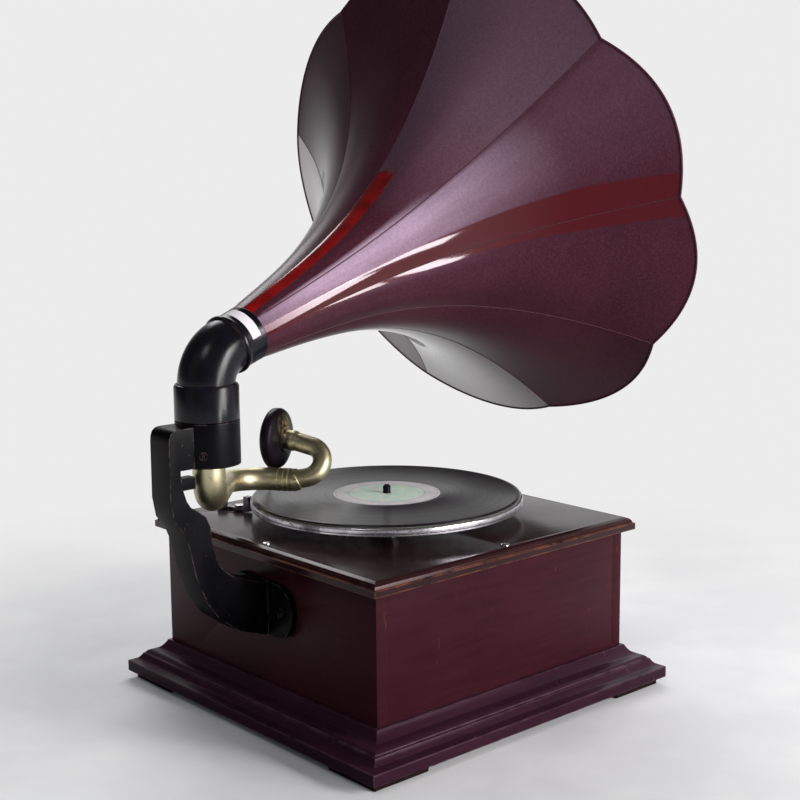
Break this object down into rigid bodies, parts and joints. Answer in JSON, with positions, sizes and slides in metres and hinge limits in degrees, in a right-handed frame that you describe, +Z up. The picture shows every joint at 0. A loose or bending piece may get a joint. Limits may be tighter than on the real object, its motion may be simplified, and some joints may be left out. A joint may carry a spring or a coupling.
{
  "type": "horn gramophone",
  "caption": "Wind-up record player on a moulded wooden case, with a petalled metal horn on an elbow, a swinging brass tone arm, a turntable with a record, and a spring motor inside.",
  "frame": {"origin": "on the floor under the centre of the square case, in the plane that the feet rest on", "axes": "+Z up, -Y to the front where the horn opens, +Y to the back where the horn bracket is, +X to the side with the winding crank"},
  "size_m": [0.4824, 0.5125, 0.6793],
  "materials": {
    "panels": "stained and polished",
    "board": "stained and polished",
    "plain_wood": "unpolished",
    "moulding": "stained and polished",
    "feet": "dark",
    "bracket": "black enamel",
    "black_tube": "black enamel",
    "horn": "semi-matte burgundy",
    "brass": "aged",
    "soundbox": "black worn to brass",
    "mica": "clear leaf",
    "steel": "plain",
    "nickel": "bright nickel",
    "felt": "felt",
    "record": "grooved",
    "label": "plain printed paper",
    "black_steel": "black",
    "turned_wood": "turned and polished"
  },
  "bodies": {
    "case": {"front_panel": "panels", "back_panel": "panels", "left_panel": "panels", "right_panel": "panels", "bottom_board": "plain_wood", "corner_blocks": "plain_wood", "base_moulding": "moulding", "foot_frame": "feet", "top_board": "board", "top_board_screws": "nickel", "horn_bracket": "bracket", "bracket_screws": "bracket", "socket_set_screw": "bracket", "motor_top_plate": "steel", "motor_lower_plate": "steel", "motor_pillars": "brass", "motor_screws": "black_steel", "crank_bearing": "brass", "brake_post": "nickel", "speed_dial": "nickel"},
    "elbow": {"elbow_collar": "black_tube", "horn_elbow": "black_tube"},
    "horn": {"horn_neck": "black_tube", "horn_petal_1": "horn", "horn_petal_2": "horn", "horn_petal_3": "horn", "horn_petal_4": "horn", "horn_petal_5": "horn", "horn_petal_6": "horn", "horn_petal_7": "horn", "horn_petal_8": "horn", "horn_petal_9": "horn"},
    "arm": {"tone_arm": "brass", "arm_flange": "brass"},
    "sound_head": {"gooseneck": "brass", "soundbox_case": "soundbox", "soundbox_ring": "soundbox", "diaphragm": "mica", "needle_bar": "brass", "needle": "steel", "needle_screw": "brass"},
    "turntable": {"platter": "nickel", "felt_mat": "felt", "record": "record", "record_label": "label", "spindle": "nickel", "spindle_gears": "brass"},
    "second": {"second_arbor": "brass"},
    "barrel": {"spring_barrel": "brass", "barrel_cover": "brass", "mainspring": "steel"},
    "governor": {"governor_shaft": "steel", "governor_weights": "brass"},
    "winding_arbor": {"barrel_arbor": "steel", "winding_crown": "brass"},
    "crank": {"crank_shaft": "steel", "crank_arm": "steel"},
    "handle": {"crank_handle": "turned_wood"},
    "brake": {"brake_lever": "black_steel"},
    "speed": {"speed_knob": "black_steel"}
  },
  "joints": [
    {"name": "horn_turn", "type": "hinge", "parent": "case", "child": "elbow", "pos_m": [0, 0.203, 0.28], "axis": [0, 0, 1], "range_deg": [-35, 35]},
    {"name": "horn_pull", "type": "slide", "parent": "elbow", "child": "horn", "axis": [0.1534, -0.9369, 0.314], "range_m": [0, 0.03]},
    {"name": "arm_swing", "type": "hinge", "parent": "case", "child": "arm", "pos_m": [0, 0.203, 0.24], "axis": [0, 0, 1], "range_deg": [-20, 16]},
    {"name": "soundbox_lift", "type": "hinge", "parent": "arm", "child": "sound_head", "pos_m": [0.061, 0.08, 0.198], "axis": [-0.8192, -0.5736, 0], "range_deg": [0, 75]},
    {"name": "turntable_spin", "type": "hinge", "parent": "case", "child": "turntable", "pos_m": [0.008, 0, 0.18], "axis": [0, 0, 1], "continuous": true},
    {"name": "second_spin", "type": "hinge", "parent": "case", "child": "second", "pos_m": [0.008, -0.04, 0.08], "axis": [0, 0, 1], "continuous": true},
    {"name": "barrel_spin", "type": "hinge", "parent": "case", "child": "barrel", "pos_m": [0.062, -0.04, 0.06], "axis": [0, 0, 1], "continuous": true},
    {"name": "governor_spin", "type": "hinge", "parent": "case", "child": "governor", "pos_m": [-0.01746, 0.02546, 0.08], "axis": [0, 0, 1], "continuous": true},
    {"name": "crank_turn", "type": "hinge", "parent": "case", "child": "crank", "pos_m": [0.15, -0.04, 0.1], "axis": [1, 0, 0], "continuous": true},
    {"name": "winding_spin", "type": "hinge", "parent": "case", "child": "winding_arbor", "pos_m": [0.062, -0.04, 0.09], "axis": [0, 0, 1], "continuous": true},
    {"name": "handle_spin", "type": "hinge", "parent": "crank", "child": "handle", "pos_m": [0.22, -0.04, 0.015], "axis": [1, 0, 0], "continuous": true},
    {"name": "brake_swing", "type": "hinge", "parent": "case", "child": "brake", "pos_m": [0.116, 0.092, 0.163], "axis": [0, 0, 1], "range_deg": [-2, 12]},
    {"name": "speed_turn", "type": "hinge", "parent": "case", "child": "speed", "pos_m": [0.112, -0.112, 0.165], "axis": [0, 0, 1], "range_deg": [-60, 60]}
  ],
  "couplings": [
    {"joint": "second_spin", "follows": "turntable_spin", "ratio": -0.25},
    {"joint": "barrel_spin", "follows": "turntable_spin", "ratio": 0.05},
    {"joint": "governor_spin", "follows": "turntable_spin", "ratio": -5},
    {"joint": "winding_spin", "follows": "crank_turn", "ratio": 0.5}
  ]
}
